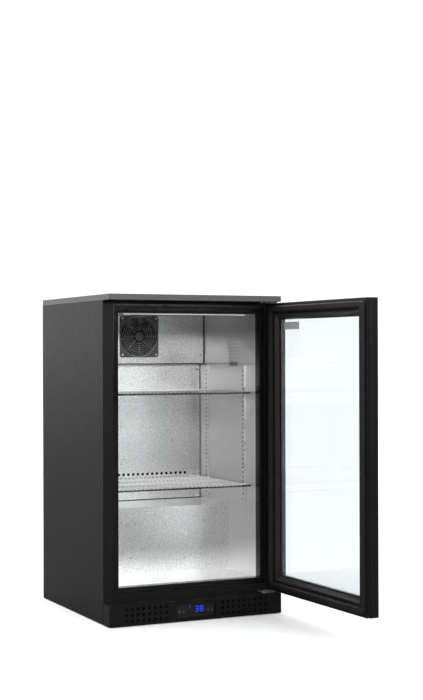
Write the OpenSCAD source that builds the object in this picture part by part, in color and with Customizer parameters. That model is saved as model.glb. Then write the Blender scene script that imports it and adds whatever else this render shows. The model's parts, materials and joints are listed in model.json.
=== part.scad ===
// Under counter bottle cooler with one glass door, drawn with the door open.
// Millimetres. X to the right, Y to the back, Z up.
// The origin is on the floor under the middle of the cabinet.

/* [Cabinet] */
// Overall width
cab_w = 500; // [480:5:560]
// Overall depth, from the worktop's front edge to the back
cab_d = 524; // [520:2:560]
// Overall height
cab_h = 860; // [850:5:900]
// Thickness of the worktop
worktop_t = 15; // [12:1:20]
// Height of the plinth
plinth_h = 56; // [54:1:60]
// Insulated side wall, from outer skin to liner
wall_t = 43; // [38:1:48]
// Sheet metal thickness
sheet_t = 1; // [0.8:0.1:1.4]
// Depth of the front recess that the closed door fills
recess_d = 46; // [46:1:50]

/* [Interior] */
// Height of the cold floor above the ground
floor_z = 95; // [90:1:100]
// Height of the ceiling of the cold space
ceiling_z = 816; // [810:1:820]
// Distance from the cabinet's middle forward to the step over the machinery
step_front = 23; // [10:1:40]
// Height of the top of the step
step_z = 279; // [270:1:290]
// Height of the underside of the evaporator cover
cover_z = 676; // [670:1:690]
// Height of the upper shelf's rim rod
upper_shelf_z = 597.5; // [500:0.5:610]
// Height of the lower shelf's rim rod
lower_shelf_z = 343; // [343:0.5:460]
// Distance between shelf wires
wire_pitch = 12.4; // [10:0.2:25]
// Distance between pilaster slots
slot_pitch = 12.2; // [10:0.1:15]

/* [Door] */
// Width of the door
door_w = 494; // [470:1:498]
// Height of the door
door_h = 780; // [760:1:782]
// Thickness of the door frame
door_t = 32; // [30:1:34]
// Visible width of the door frame, edge to glass
door_frame_w = 41; // [40:1:60]
// Angle at which the door stands open, 0 is shut
door_open = 91; // [0:1:105]
// Hinge pivot's distance in from the door's side edge
pivot_in = 8; // [7:0.5:10]
// Hinge pivot's distance from the door's outer face
pivot_back = 23; // [22:0.5:24]

/* [Controls] */
// Middle of the controller, left or right of the cabinet's middle
controller_x = -6; // [-20:1:20]
// Width of the controller
controller_w = 117; // [110:1:120]
// Height of the controller
controller_h = 40; // [38:1:42]
// Distance between vent holes in the plinth
vent_pitch = 16.1; // [14:0.1:18]
// Diameter of a vent hole
vent_d = 9.5; // [6:0.5:11]

/* [Fans] */
// Width of the evaporator fan's square frame
fan_size = 119; // [115:1:121]
// Width of the condenser fan's square frame
condenser_fan_size = 150; // [140:1:155]
// Radius of the fans' axles
axle_r = 1.5; // [1.5:0.5:3]

/* [Hidden] */
$fn = 48;
gap = 0.3;                                // between pieces that move past each other
fold_r = 2;                               // outer radius of a fold in the casing
bottom_z = 2;                             // lower edge of the casing
half_w = cab_w / 2;
front_y = -cab_d / 2;                     // worktop's front edge
back_y = cab_d / 2;
face_y = front_y + recess_d;              // front face of the carcass
top_z = cab_h - worktop_t;
skin_x = half_w - sheet_t;                // inner face of an outer skin
liner_x = half_w - wall_t;                // inner face of a liner wall
flange_w = 29;                            // front flange of a side panel
frame_x = half_w - flange_w;              // outer edge of the breaker frame
frame_top = 836;
frame_bottom = 78;
opening_top = 812;
lip_t = 3;                                // front lip of the breaker frame
reveal_d = 26;                            // how far the breaker frame wraps inwards
reveal_t = 2.5;
reveal_y = face_y + reveal_d;
step_y = -step_front;
under_floor_z = plinth_h + sheet_t;       // underside of the foam
bay_y = 6;                                // front of the machinery bay
bay_top = step_z - 28;                    // foam above the bay
liner_back_y = back_y - 48;
duct_y = 168;                             // front of the air duct panel
cover_y = 139;                            // front of the evaporator cover
grille_y = 249;                           // rear service grille
pan_h = 15;
plinth_y = front_y + 4;                   // front of the plinth and of the shut door
door_z = plinth_h + 5;
pivot_x = door_w / 2 - pivot_in;
pivot_y = plinth_y + pivot_back;
pin_r = 4;
bush_r = 5.2;
pin_l = 18;                               // depth of a hinge bush in the door
bracket_t = 2.5;
bracket_screw_x = [209, 221];
bracket_screw_y = face_y - 12;
fan_z = 754.5;                            // evaporator fan's axis
condenser_x = 120;
condenser_fan_z = 96;
condenser_fan_y = 128;
compressor_x = -115;
compressor_y = 130;
condenser_half = 78;                      // half width of the condenser
condenser_rows = [81, 101];
condenser_z = [40, 65, 90, 115, 140, 165];
drier = [8, 199];                         // upright axis of the filter drier
pilaster_d = 5;
pilaster_w = 18;
pilaster_y = [-123, 115];
pilaster_z0 = 293;
pilaster_n = 30;                          // slots in a pilaster
shelf_half = 199.5;
shelf_front = -187;
shelf_back = 162;
rim_r = 3;
wire_r = 1.5;
key_x = [-52, -40, 31, 42];               // keys left and right of the digits
key_z = 27;
key_r = 4;
drain_x = 150;
drain_y = 188;
drain_r = 6;
suction_x = -196;
tube_r = 4;
coil_x = 184;                             // half length of the evaporator's tubes
coil_y = [181, 199];                      // its two columns of tubes
coil_z = [713, 738, 763, 788];
steel_black = [0.09, 0.09, 0.095];
plastic_black = [0.04, 0.04, 0.045];
zinc = [0.75, 0.76, 0.78];
alu = [0.83, 0.84, 0.85];
copper = [0.72, 0.42, 0.27];

// ---------- shapes used by many pieces ----------

// Box between two corners.
module box(lo, hi) {
    translate(lo) cube(hi - lo);
}

// The children and their mirror image across the cabinet's middle.
module both_sides() {
    children();
    mirror([1, 0, 0]) children();
}

// Outline of [y, z] points, drawn out from x0 to x1.
module side_profile(points, x0, x1) {
    translate([x0, 0, 0]) rotate([90, 0, 90]) linear_extrude(x1 - x0) polygon(points);
}

module rod_x(x0, x1, y, z, r) {
    translate([x0, y, z]) rotate([0, 90, 0]) cylinder(h = x1 - x0, r = r);
}

module rod_y(y0, y1, x, z, r) {
    translate([x, y0, z]) rotate([-90, 0, 0]) cylinder(h = y1 - y0, r = r);
}

module rod_z(z0, z1, x, y, r) {
    translate([x, y, z0]) cylinder(h = z1 - z0, r = r);
}

// Round bar from p to q.
module strut(p, q, r) {
    d = q - p;
    translate(p) rotate([0, acos(d[2] / norm(d)), atan2(d[1], d[0])]) cylinder(h = norm(d), r = r);
}

function unit(v) = v / norm(v);

// Angle by which a line through the points turns at point i.
function turn_at(points, i) =
    acos(unit(points[i] - points[i - 1]) * unit(points[i + 1] - points[i]));

// Length that the bend at point i takes from each straight beside it.
function bend_cut(points, i, bend_r) =
    i == 0 || i == len(points) - 1 ? 0 : bend_r * tan(turn_at(points, i) / 2);

// Round bar or pipe through the points, bent to an arc at each one between the ends.
module bent_rod(points, r, bend_r) {
    last = len(points) - 1;
    for (i = [0 : last - 1]) {
        along = unit(points[i + 1] - points[i]);
        strut(points[i] + along * bend_cut(points, i, bend_r),
              points[i + 1] - along * bend_cut(points, i + 1, bend_r), r);
    }
    for (i = [1 : last - 1]) {
        a = unit(points[i] - points[i - 1]);
        b = unit(points[i + 1] - points[i]);
        n = unit(b - a * (a * b));
        z = cross(a, n);
        c = points[i] - a * bend_cut(points, i, bend_r) + n * bend_r;
        multmatrix([[-n[0], a[0], z[0], c[0]], [-n[1], a[1], z[1], c[1]],
                    [-n[2], a[2], z[2], c[2]], [0, 0, 0, 1]])
            rotate_extrude(angle = turn_at(points, i)) translate([bend_r, 0]) circle(r);
    }
}

// Half ring of pipe that joins two tubes stacked in Z, bulging towards side (1 or -1) in X.
module return_bend(x, y, z, bend_r, r, side) {
    translate([x, y, z]) rotate([90, 0, 0]) rotate([0, 0, side > 0 ? -90 : 90])
        rotate_extrude(angle = 180) translate([bend_r, 0]) circle(r);
}

// Rectangle from lo to hi with round corners, as true arcs.
module round_rect(lo, hi, r) {
    translate(lo + [r, 0]) square(hi - lo - [2 * r, 0]);
    translate(lo + [0, r]) square(hi - lo - [0, 2 * r]);
    for (x = [lo[0] + r, hi[0] - r], y = [lo[1] + r, hi[1] - r]) translate([x, y]) circle(r);
}

// Square plate in the XZ plane with round corners and a round hole.
module holed_plate(size, corner_r, hole_r, x, z, y0, y1) {
    half = size / 2;
    translate([x, y1, z]) rotate([90, 0, 0]) linear_extrude(y1 - y0) difference() {
        round_rect([-half, -half], [half, half], corner_r);
        circle(hole_r);
    }
}

// One side of a mitred frame. The profile's points are [distance in from the frame's
// edge, distance back from its front]; chambers are the hollows of the extrusion.
module mitred_bar(length, profile, chambers = []) {
    deep = 60;
    intersection() {
        side_profile([for (p = profile) [p[1], p[0]]], -length / 2, length / 2);
        translate([0, deep, 0]) rotate([90, 0, 0]) linear_extrude(2 * deep) polygon([
            [-length / 2, 0], [length / 2, 0],
            [length / 2 - deep, deep], [-length / 2 + deep, deep]
        ]);
    }
}

// The four places of a door frame's sides: 0 bottom, 1 top, 2 hinge side, 3 free side.
module door_side(which) {
    at = [[0, door_z], [0, door_z + door_h], [door_w / 2, door_z + door_h / 2],
          [-door_w / 2, door_z + door_h / 2]];
    turn = [0, 180, -90, 90];
    translate([at[which][0], plinth_y, at[which][1]]) rotate([0, turn[which], 0]) children();
}

// Length of each of those sides.
function side_length(which) = which < 2 ? door_w : door_h;

// A ring of four mitred bars round the door.
module door_ring(profile) {
    for (i = [0 : 3]) door_side(i) mitred_bar(side_length(i), profile);
}

// Turns a door piece, drawn shut, about the hinge to where the door stands.
module hung() {
    translate([pivot_x, pivot_y, 0]) rotate([0, 0, door_open]) translate([-pivot_x, -pivot_y, 0])
        children();
}

// ---------- outer casing ----------

module worktop_skin() {
    color(steel_black) difference() {
        translate([0, 0, top_z]) linear_extrude(worktop_t)
            round_rect([-half_w, front_y], [half_w, back_y], fold_r);
        box([-skin_x, front_y + sheet_t, top_z - 1], [skin_x, back_y - sheet_t, cab_h - sheet_t]);
    }
}

module worktop_core() {
    color("dimgray")
        box([-skin_x, front_y + sheet_t, top_z], [skin_x, back_y - sheet_t, cab_h - sheet_t]);
}

// A side panel with its front flange folded in, round at the fold.
module side_panel() {
    translate([0, 0, bottom_z]) linear_extrude(top_z - bottom_z) intersection() {
        difference() {
            round_rect([-half_w, face_y], [half_w, back_y + 20], fold_r);
            translate([-skin_x, face_y + sheet_t]) square([2 * skin_x, cab_d]);
        }
        translate([-half_w, face_y]) square([flange_w, back_y - face_y]);
    }
}

module left_side_panel() {
    color(steel_black) side_panel();
}

module right_side_panel() {
    color(steel_black) mirror([1, 0, 0]) side_panel();
}

module back_panel() {
    color(zinc)
        box([-skin_x, back_y - sheet_t, bay_top - sheet_t], [skin_x, back_y, top_z]);
}

// Sheet over the machinery bay, with two columns of round-ended slots.
module rear_service_grille() {
    slot_l = 150;
    slot_h = 6;
    color(steel_black) difference() {
        box([-skin_x, grille_y, pan_h], [skin_x, grille_y + sheet_t, bay_top - sheet_t]);
        for (x = [-115, 115], i = [0 : 9]) translate([x, grille_y, 60 + i * 16]) {
            box([-slot_l / 2, -1, -slot_h / 2], [slot_l / 2, 2, slot_h / 2]);
            for (s = [-1, 1]) rod_y(-1, 2, s * slot_l / 2, 0, slot_h / 2);
        }
        rod_y(grille_y - 1, grille_y + 2, -215, 40, 6);
    }
}

// Floor of the cabinet: a plate with a rim turned down all round it.
module base_pan() {
    rim = 1.2;
    color(zinc) difference() {
        box([-skin_x, face_y + sheet_t, 0], [skin_x, back_y - sheet_t, pan_h]);
        box([-skin_x + rim, face_y + sheet_t + rim, -1],
            [skin_x - rim, back_y - sheet_t - rim, pan_h - rim]);
        at_feet() rod_z(0, pan_h + 1, 0, 0, pin_r);
    }
}

// Where the four levelling feet stand.
module at_feet() {
    for (x = [-210, 210], y = [-180, 225]) translate([x, y, 0]) children();
}

module levelling_feet() {
    color(plastic_black) at_feet() {
        cylinder(h = 5, r1 = 15, r2 = 12);
        rod_z(4, pan_h + 20, 0, 0, pin_r);
        translate([0, 0, pan_h]) cylinder(h = 6, r = 8, $fn = 6);
    }
}

// Galvanised sheet under the foam: below the cold floor, then up and over the machinery.
module bay_partition() {
    y0 = face_y + sheet_t;
    y1 = back_y - sheet_t;
    color(zinc) difference() {
        side_profile([
            [y0, plinth_h], [bay_y + sheet_t, plinth_h], [bay_y + sheet_t, bay_top - sheet_t],
            [y1, bay_top - sheet_t], [y1, bay_top], [bay_y, bay_top], [bay_y, under_floor_z],
            [y0, under_floor_z]
        ], -skin_x, skin_x);
        step_holes();
    }
}

// Ways through the step for the drain pipe and the suction line.
module step_holes() {
    rod_z(bay_top - 10, step_z + 10, drain_x, drain_y, drain_r);
    rod_z(bay_top - 10, step_z + 10, suction_x, coil_y[1], tube_r);
}

// Cross strips of the carcass face, above and below the breaker frame.
module front_rails() {
    color(steel_black) {
        box([-frame_x, face_y, plinth_h], [frame_x, face_y + sheet_t, frame_bottom]);
        box([-frame_x, face_y, frame_top], [frame_x, face_y + sheet_t, top_z]);
    }
}

// Vent holes of the plinth: first hole's x, direction, and how many columns.
module vent_group(x0, direction, columns) {
    for (i = [0 : columns - 1], row = [0 : 2])
        rod_y(plinth_y - 1, plinth_y + 2, x0 + direction * i * vent_pitch, 13.5 + row * 15.4,
              vent_d / 2);
}

// Toe kick: a shallow tray on edge, with a cut-out for the controller.
module plinth() {
    lip = 15;
    color(steel_black) difference() {
        translate([0, 0, bottom_z]) linear_extrude(plinth_h - bottom_z) intersection() {
            round_rect([-half_w, plinth_y], [half_w, face_y + 20], fold_r);
            translate([-half_w, plinth_y]) square([cab_w, face_y - plinth_y]);
        }
        box([-skin_x, plinth_y + sheet_t, bottom_z + sheet_t],
            [skin_x, face_y + 1, plinth_h - sheet_t]);
        box([-skin_x, plinth_y + lip, 0], [skin_x, face_y + 1, plinth_h - sheet_t]);
        box(controller_corner(0, plinth_y - 1), controller_corner(1, plinth_y + 2));
        vent_group(-203, 1, 8);
        vent_group(202, -1, 9);
    }
}

// ---------- insulated body ----------

// Outline of the cold space's walls in [y, z], grown by g; it runs out of the front.
function cold_outline(g, y0) = [
    [y0, floor_z - g], [step_y + g, floor_z - g], [step_y + g, step_z - g],
    [liner_back_y + g, step_z - g], [liner_back_y + g, ceiling_z + g], [y0, ceiling_z + g]
];

module insulation_foam() {
    y0 = face_y + sheet_t;
    y1 = back_y - sheet_t;
    color("khaki") difference() {
        side_profile([
            [y0, under_floor_z], [bay_y, under_floor_z], [bay_y, bay_top], [y1, bay_top],
            [y1, top_z], [y0, top_z]
        ], -skin_x, skin_x);
        side_profile(cold_outline(sheet_t, front_y), -liner_x - sheet_t, liner_x + sheet_t);
        box([-frame_x, front_y, frame_bottom], [frame_x, face_y + lip_t, frame_top]);
        box([-liner_x - reveal_t, front_y, floor_z - reveal_t],
            [liner_x + reveal_t, reveal_y, ceiling_z + sheet_t]);
        step_holes();
    }
}

module liner_wall() {
    side_profile(cold_outline(sheet_t, reveal_y), -liner_x - sheet_t, -liner_x);
}

module liner_left() {
    color(alu) liner_wall();
}

module liner_right() {
    color(alu) mirror([1, 0, 0]) liner_wall();
}

module liner_back() {
    color(alu) box([-liner_x, liner_back_y, step_z], [liner_x, liner_back_y + sheet_t, ceiling_z]);
}

module liner_ceiling() {
    color(alu)
        box([-liner_x, reveal_y, ceiling_z], [liner_x, liner_back_y + sheet_t, ceiling_z + sheet_t]);
}

// Floor sheet, folded up over the step.
module liner_floor() {
    color(alu) difference() {
        side_profile([
            [reveal_y, floor_z - sheet_t], [step_y + sheet_t, floor_z - sheet_t],
            [step_y + sheet_t, step_z - sheet_t], [liner_back_y + sheet_t, step_z - sheet_t],
            [liner_back_y + sheet_t, step_z], [step_y, step_z], [step_y, floor_z],
            [reveal_y, floor_z]
        ], -liner_x, liner_x);
        step_holes();
    }
}

// Plastic ring that joins the liner to the steel face and faces the door seal.
module breaker_frame() {
    color(plastic_black) difference() {
        union() {
            box([-frame_x, face_y, frame_bottom], [frame_x, face_y + lip_t, frame_top]);
            box([-liner_x - reveal_t, face_y, floor_z - reveal_t],
                [liner_x + reveal_t, reveal_y, ceiling_z + sheet_t]);
        }
        box([-liner_x, face_y - 1, floor_z], [liner_x, reveal_y + 1, opening_top]);
    }
}

// ---------- cold air and lighting ----------

// Panel in front of the back wall, with folded sides and a row of air holes.
module air_duct_panel() {
    half = liner_x - 1.5;
    hole_pitch = 15;
    color(alu) difference() {
        box([-half, duct_y, step_z], [half, liner_back_y, cover_z]);
        box([-half + sheet_t, duct_y + sheet_t, step_z - 1],
            [half - sheet_t, liner_back_y + 1, cover_z + 1]);
        for (i = [-10.5 : 10.5]) rod_y(duct_y - 1, duct_y + 2, i * hole_pitch, 354.5, 4.25);
        box([half - 12, duct_y - 1, 656], [half - 4, duct_y + 2, 659]);
    }
}

module evaporator_cover() {
    half = liner_x - 1;
    color(alu) difference() {
        box([-half, cover_y, cover_z], [half, duct_y, ceiling_z - 0.5]);
        box([-half - 1, cover_y + sheet_t, cover_z + sheet_t], [half + 1, duct_y + 1, ceiling_z]);
        rod_y(cover_y - 1, cover_y + 2, 0, fan_z, fan_size / 2 - 3);
    }
}

// Round rings and spokes in a square plastic frame.
module fan_guard() {
    ring_step = 6.2;
    rings = 6;
    hub_r = 14;
    outer_r = fan_size / 2 - 2;
    color(plastic_black) {
        holed_plate(fan_size + 1, 5, outer_r, 0, fan_z, cover_y - 2.2, cover_y);
        for (i = [1 : rings]) translate([0, cover_y, fan_z]) rotate([90, 0, 0]) difference() {
            cylinder(h = 3, r = hub_r + i * ring_step + 1);
            translate([0, 0, -1]) cylinder(h = 5, r = hub_r + i * ring_step - 1);
        }
        rod_y(cover_y - 3.4, cover_y, 0, fan_z, hub_r);
        for (a = [0 : 45 : 315]) translate([0, cover_y, fan_z]) rotate([0, a, 0])
            box([hub_r - 2, -2, -1], [outer_r + 1, 0, 1]);
    }
}

// Square fan frame with a motor can on four arms, and a bore for the rotor's axle.
module fan_housing(size, x, y0, depth, z) {
    bore_r = size / 2 - 2.5;
    can_r = size * 0.16;
    arm = 5;
    y1 = y0 + depth;
    difference() {
        union() {
            holed_plate(size, 6, bore_r, x, z, y0, y1);
            rod_y(y1 - arm - 4, y1, x, z, can_r);
            for (a = [0 : 90 : 270]) translate([x, y1, z]) rotate([0, a, 0])
                box([can_r - 1, -arm + 1, -3], [bore_r + 1, 0, 3]);
        }
        rod_y(y0, y1 - 2, x, z, axle_r + 0.05);
    }
}

// Hub, axle and tilted blades that turn inside a fan housing of that size.
module fan_rotor(size, x, y0, depth, z, blades) {
    tip_r = size / 2 - 5;
    hub_r = size * 0.165;
    chord = 3.6 * tip_r / blades;
    body_d = depth - 11;
    translate([x, y0 + 1.5, z]) {
        rod_y(0, body_d, 0, 0, hub_r);
        rod_y(0, depth - 5, 0, 0, axle_r);
        intersection() {
            for (i = [0 : blades - 1]) rotate([0, i * 360 / blades, 0])
                translate([0, body_d / 2, 0]) rotate([25, 0, 0])
                    box([hub_r - 3, -0.9, -chord / 2], [tip_r + 5, 0.9, chord / 2]);
            rod_y(0.5, body_d - 0.5, 0, 0, tip_r);
        }
    }
}

module evaporator_fan_housing() {
    color("dimgray") fan_housing(fan_size, 0, cover_y + sheet_t, 25, fan_z);
}

module evaporator_fan_rotor() {
    color(plastic_black) fan_rotor(fan_size, 0, cover_y + sheet_t, 25, fan_z, 7);
}

// Thin fins between two end plates that reach back to the liner.
module evaporator_fins() {
    color(alu) {
        for (i = [-17 : 17]) box([i * 10 - 0.4, 172, 701], [i * 10 + 0.4, 208, 800]);
        both_sides() box([179, 171, 699], [180.5, liner_back_y, 803]);
    }
}

// Copper serpentine through the fins: up one column of tubes, across, and down the other.
module evaporator_tubes() {
    color(copper) {
        for (y = coil_y) {
            for (z = coil_z) rod_x(-coil_x, coil_x, y, z, tube_r);
            for (i = [0, 2]) return_bend(coil_x, y, coil_z[i] + 12.5, 12.5, tube_r, 1);
            return_bend(-coil_x, y, coil_z[1] + 12.5, 12.5, tube_r, -1);
        }
        translate([-coil_x, (coil_y[0] + coil_y[1]) / 2, coil_z[3]]) rotate([0, 0, 90])
            rotate_extrude(angle = 180) translate([(coil_y[1] - coil_y[0]) / 2, 0]) circle(tube_r);
    }
}

// Tray under the coil, hung on two ears, with its drain pipe down through the step.
module drip_tray() {
    half = 188;
    wall = 1.5;
    z0 = 681;
    z1 = 693;
    color("lightgray") difference() {
        union() {
            box([-half, 171, z0], [half, 200, z1]);
            both_sides() box([half - wall, 171, z1 - wall], [liner_x, 186, z1]);
            rod_z(bay_top - 22, z0 + wall, drain_x, drain_y, drain_r);
        }
        box([-half + wall, 171 + wall, z0 + wall], [half - wall, 200 - wall, z1 + 1]);
        rod_z(bay_top - 23, z0 + 5, drain_x, drain_y, drain_r - wall);
    }
}

module lamp_housing() {
    color("white")
        box([-188, reveal_y + 1, opening_top - 1], [188, reveal_y + 16, ceiling_z]);
}

// Milky cover of the light strip, with a fatter cap at each end.
module lamp_lens() {
    z0 = opening_top - 4.5;
    color("lightcyan") {
        box([-184, reveal_y + 2, z0 + 0.5], [184, reveal_y + 14, opening_top - 1]);
        both_sides() box([168, reveal_y + 1, z0 - 1], [186, reveal_y + 15, opening_top - 1]);
    }
}

// ---------- shelves ----------

// Slotted channels on the side walls that carry the shelf clips.
module shelf_pilasters() {
    color(alu) both_sides() for (y = pilaster_y) difference() {
        z1 = pilaster_z0 + (pilaster_n + 1) * slot_pitch;
        box([liner_x - pilaster_d, y - pilaster_w / 2, pilaster_z0],
            [liner_x, y + pilaster_w / 2, z1]);
        box([liner_x - pilaster_d + sheet_t, y - pilaster_w / 2 + sheet_t, pilaster_z0 - 1],
            [liner_x + 1, y + pilaster_w / 2 - sheet_t, z1 + 1]);
        for (i = [0 : pilaster_n - 1])
            box([liner_x - pilaster_d - 1, y - 3.5, slot_z(i) - 2],
                [liner_x - pilaster_d + 2, y + 3.5, slot_z(i) + 2]);
    }
}

// Middle height of a pilaster slot.
function slot_z(i) = pilaster_z0 + (i + 0.7) * slot_pitch;

// Height of the highest slot below a shelf at rim height z.
function clip_slot(z) = slot_z(floor((z - rim_r - 3 - slot_z(0)) / slot_pitch));

// Bent steel hooks, four under each shelf.
module shelf_clips() {
    face = liner_x - pilaster_d;
    tab = 9;
    color(zinc) both_sides() for (y = pilaster_y, z = [upper_shelf_z, lower_shelf_z]) {
        top = z - rim_r - gap;
        box([face - 1.2, y - 5, clip_slot(z) - 1.6], [face, y + 5, top]);
        box([face - tab, y - 5, top - 1.5], [face, y + 5, top]);
        box([face - 1.2, y - 3, clip_slot(z) - 1.6], [face + 3, y + 3, clip_slot(z) + 1.6]);
    }
}

// Wire shelf: a round rim, two cross rods, a lower front rod, and close wires that turn
// down over the front.
module wire_shelf(z) {
    x = shelf_half - rim_r;
    y0 = shelf_front + 8;
    y1 = shelf_back - rim_r;
    wire_z = z + rim_r + wire_r - 0.4;
    drop_z = z - 8;
    wire_y = shelf_front + wire_r;
    wires = floor((shelf_half - 8) / wire_pitch);
    bent_rod([[0, y0, z], [x, y0, z], [x, y1, z], [-x, y1, z], [-x, y0, z], [0, y0, z]],
             rim_r, 9);
    for (y = [-65, 55]) rod_x(-x, x, y, z + 0.5, rim_r - 0.5);
    rod_x(-wires * wire_pitch - 3, wires * wire_pitch + 3, wire_y + 2, drop_z, 2);
    for (i = [-wires : wires]) translate([i * wire_pitch, 0, 0])
        bent_rod([[0, shelf_back, wire_z], [0, wire_y, wire_z], [0, wire_y, drop_z]], wire_r, 3);
}

module upper_shelf() {
    color("silver") wire_shelf(upper_shelf_z);
}

module lower_shelf() {
    color("silver") wire_shelf(lower_shelf_z);
}

// ---------- door ----------

// Section of the door frame: front lip over the glass, deep body, finger groove in the edge.
frame_section = [
    [0, 0], [door_frame_w, 0], [door_frame_w, 3], [30, 3], [30, door_t], [0, door_t],
    [0, 30.5], [2.2, 30.5], [2.2, 24.5], [0, 24.5]
];
front_chamber = [[2, 2], [28, 2], [28, 16], [2, 16]];
back_chamber = [[16, 18], [28, 18], [28, 30], [16, 30]];

module door_bar(which) {
    length = side_length(which);
    color(plastic_black) hung() difference() {
        door_side(which) difference() {
            mitred_bar(length, frame_section);
            mitred_bar(length, front_chamber);
            mitred_bar(length, back_chamber);
        }
        bush_places() rod_z(-1, pin_l, pivot_x, pivot_y, bush_r);
    }
}

// The two hinge corners; the child runs up into the door from its edge at Z 0.
module bush_places() {
    translate([0, 0, door_z]) children();
    translate([0, 0, door_z + door_h]) mirror([0, 0, 1]) children();
}

module door_top_rail() {
    door_bar(1);
}

module door_bottom_rail() {
    door_bar(0);
}

module door_hinge_stile() {
    door_bar(2);
}

module door_free_stile() {
    door_bar(3);
}

// Sloping plastic ring that holds the glass in from the inside.
module glazing_bead() {
    color(plastic_black) hung() door_ring([
        [30, 21], [door_frame_w, 21], [door_frame_w, 23.5], [33, 31.5], [30, door_t]
    ]);
}

// Hollow magnetic seal on the inner face of the door.
module door_gasket() {
    color([0.12, 0.12, 0.12]) hung() difference() {
        door_ring([[8, door_t], [24, door_t], [24, 34], [21.5, 41.5], [10.5, 41.5], [8, 34]]);
        door_ring([[11, 34], [21, 34], [19.5, 39.5], [12.5, 39.5]]);
    }
}

// Pane of glass set in from the door's edge, between two depths from its front.
module pane(v0, v1) {
    inset = 32;
    box([-door_w / 2 + inset, plinth_y + v0, door_z + inset],
        [door_w / 2 - inset, plinth_y + v1, door_z + door_h - inset]);
}

module outer_glass() {
    color([0.8, 0.95, 0.95, 0.35]) hung() pane(3, 7);
}

module inner_glass() {
    color([0.8, 0.95, 0.95, 0.35]) hung() pane(17, 21);
}

module glass_spacer() {
    u0 = door_frame_w - 8;
    u1 = door_frame_w + 4;
    color(alu) hung() door_ring([[u0, 7], [u1, 7], [u1, 17], [u0, 17]]);
}

// Plastic bushes pressed into the door at the hinge corners.
module hinge_bushes() {
    color("white") hung() bush_places() difference() {
        union() {
            rod_z(0, pin_l, pivot_x, pivot_y, bush_r);
            rod_z(-1.2, 0, pivot_x, pivot_y, bush_r + 2.5);
        }
        rod_z(-2, pin_l + 1, pivot_x, pivot_y, pin_r + 0.05);
    }
}

// Steel hinge plate with its pin; z is the face that is fixed, and up is 1 or -1.
module hinge_bracket(z, up) {
    reach = door_z - plinth_h + pin_l - 1.5;
    translate([0, 0, z]) mirror([0, 0, up > 0 ? 0 : 1]) {
        linear_extrude(bracket_t) difference() {
            union() {
                round_rect([200, pivot_y - 10], [skin_x, face_y], 4);
                translate([200, face_y - 8]) square([skin_x - 200, 8]);
            }
            for (x = bracket_screw_x) translate([x, bracket_screw_y]) circle(2.5);
        }
        rod_z(0, reach, pivot_x, pivot_y, pin_r);
    }
}

module top_hinge_bracket() {
    color(zinc) hinge_bracket(top_z, -1);
}

module bottom_hinge_bracket() {
    color(zinc) hinge_bracket(plinth_h, 1);
}

// ---------- controls ----------

// Corner of the controller in the plinth: 0 lower left, 1 upper right.
function controller_corner(which, y) = [
    controller_x + (which - 0.5) * controller_w, y, 28 + (which - 0.5) * controller_h
];

// Recessed surround with the electronics box behind it.
module controller_bezel() {
    rim = 3;
    color(plastic_black) difference() {
        box(controller_corner(0, plinth_y - 0.6), controller_corner(1, plinth_y + 34));
        box(controller_corner(0, plinth_y - 2) + [rim, 0, rim],
            controller_corner(1, plinth_y + 4.5) - [rim, 0, rim]);
        box(controller_corner(0, plinth_y + 4) + [rim + 2, 0, rim + 2],
            controller_corner(1, plinth_y + 32) - [rim + 2, 0, rim + 2]);
    }
}

module display_window() {
    rim = 3;
    color("black") difference() {
        box(controller_corner(0, plinth_y + 2.5) + [rim, 0, rim],
            controller_corner(1, plinth_y + 4.5) - [rim, 0, rim]);
        for (x = key_x) rod_y(plinth_y, plinth_y + 6, x, key_z, key_r + gap);
    }
}

// Round push key with a shoulder behind the window.
module key(i) {
    color("dimgray") {
        rod_y(plinth_y + 1.5, plinth_y + 6, key_x[i], key_z, key_r);
        rod_y(plinth_y + 5.6, plinth_y + 7, key_x[i], key_z, key_r + 1);
    }
}

module key_set() {
    key(0);
}

module key_lamp() {
    key(1);
}

module key_up() {
    key(2);
}

module key_down() {
    key(3);
}

// ---------- machinery ----------

// Where the compressor's four rubber mounts stand.
module at_mounts() {
    for (x = [-75, 75], y = [-50, 50])
        translate([compressor_x + x, compressor_y + y, pan_h]) children();
}

// Welded steel shell on its base plate.
module compressor_shell() {
    r = 66;
    edge = 26;
    z0 = pan_h + 18;
    h = 150;
    color([0.06, 0.06, 0.06]) {
        translate([compressor_x, compressor_y, z0]) rotate_extrude() intersection() {
            round_rect([-r, 0], [r, h], edge);
            square([r + 1, h]);
        }
        difference() {
            box([compressor_x - 92, compressor_y - 64, z0 - 3],
                [compressor_x + 92, compressor_y + 64, z0]);
            at_mounts() rod_z(0, 30, 0, 0, 5);
        }
    }
}

module compressor_mounts() {
    color([0.05, 0.05, 0.05]) at_mounts() {
        cylinder(h = 15, r = 10);
        rod_z(15, 18, 0, 0, 5);
        translate([0, 0, 18]) cylinder(h = 4, r = 8);
    }
}

// Box over the compressor's terminals and start relay.
module terminal_cover() {
    color(plastic_black) difference() {
        box([compressor_x + 45, compressor_y - 30, 75], [compressor_x + 92, compressor_y + 30, 135]);
        rod_z(70, 140, compressor_x, compressor_y, 66);
        box([compressor_x + 47, compressor_y - 28, 77], [compressor_x + 90, compressor_y + 28, 133]);
    }
}

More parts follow.
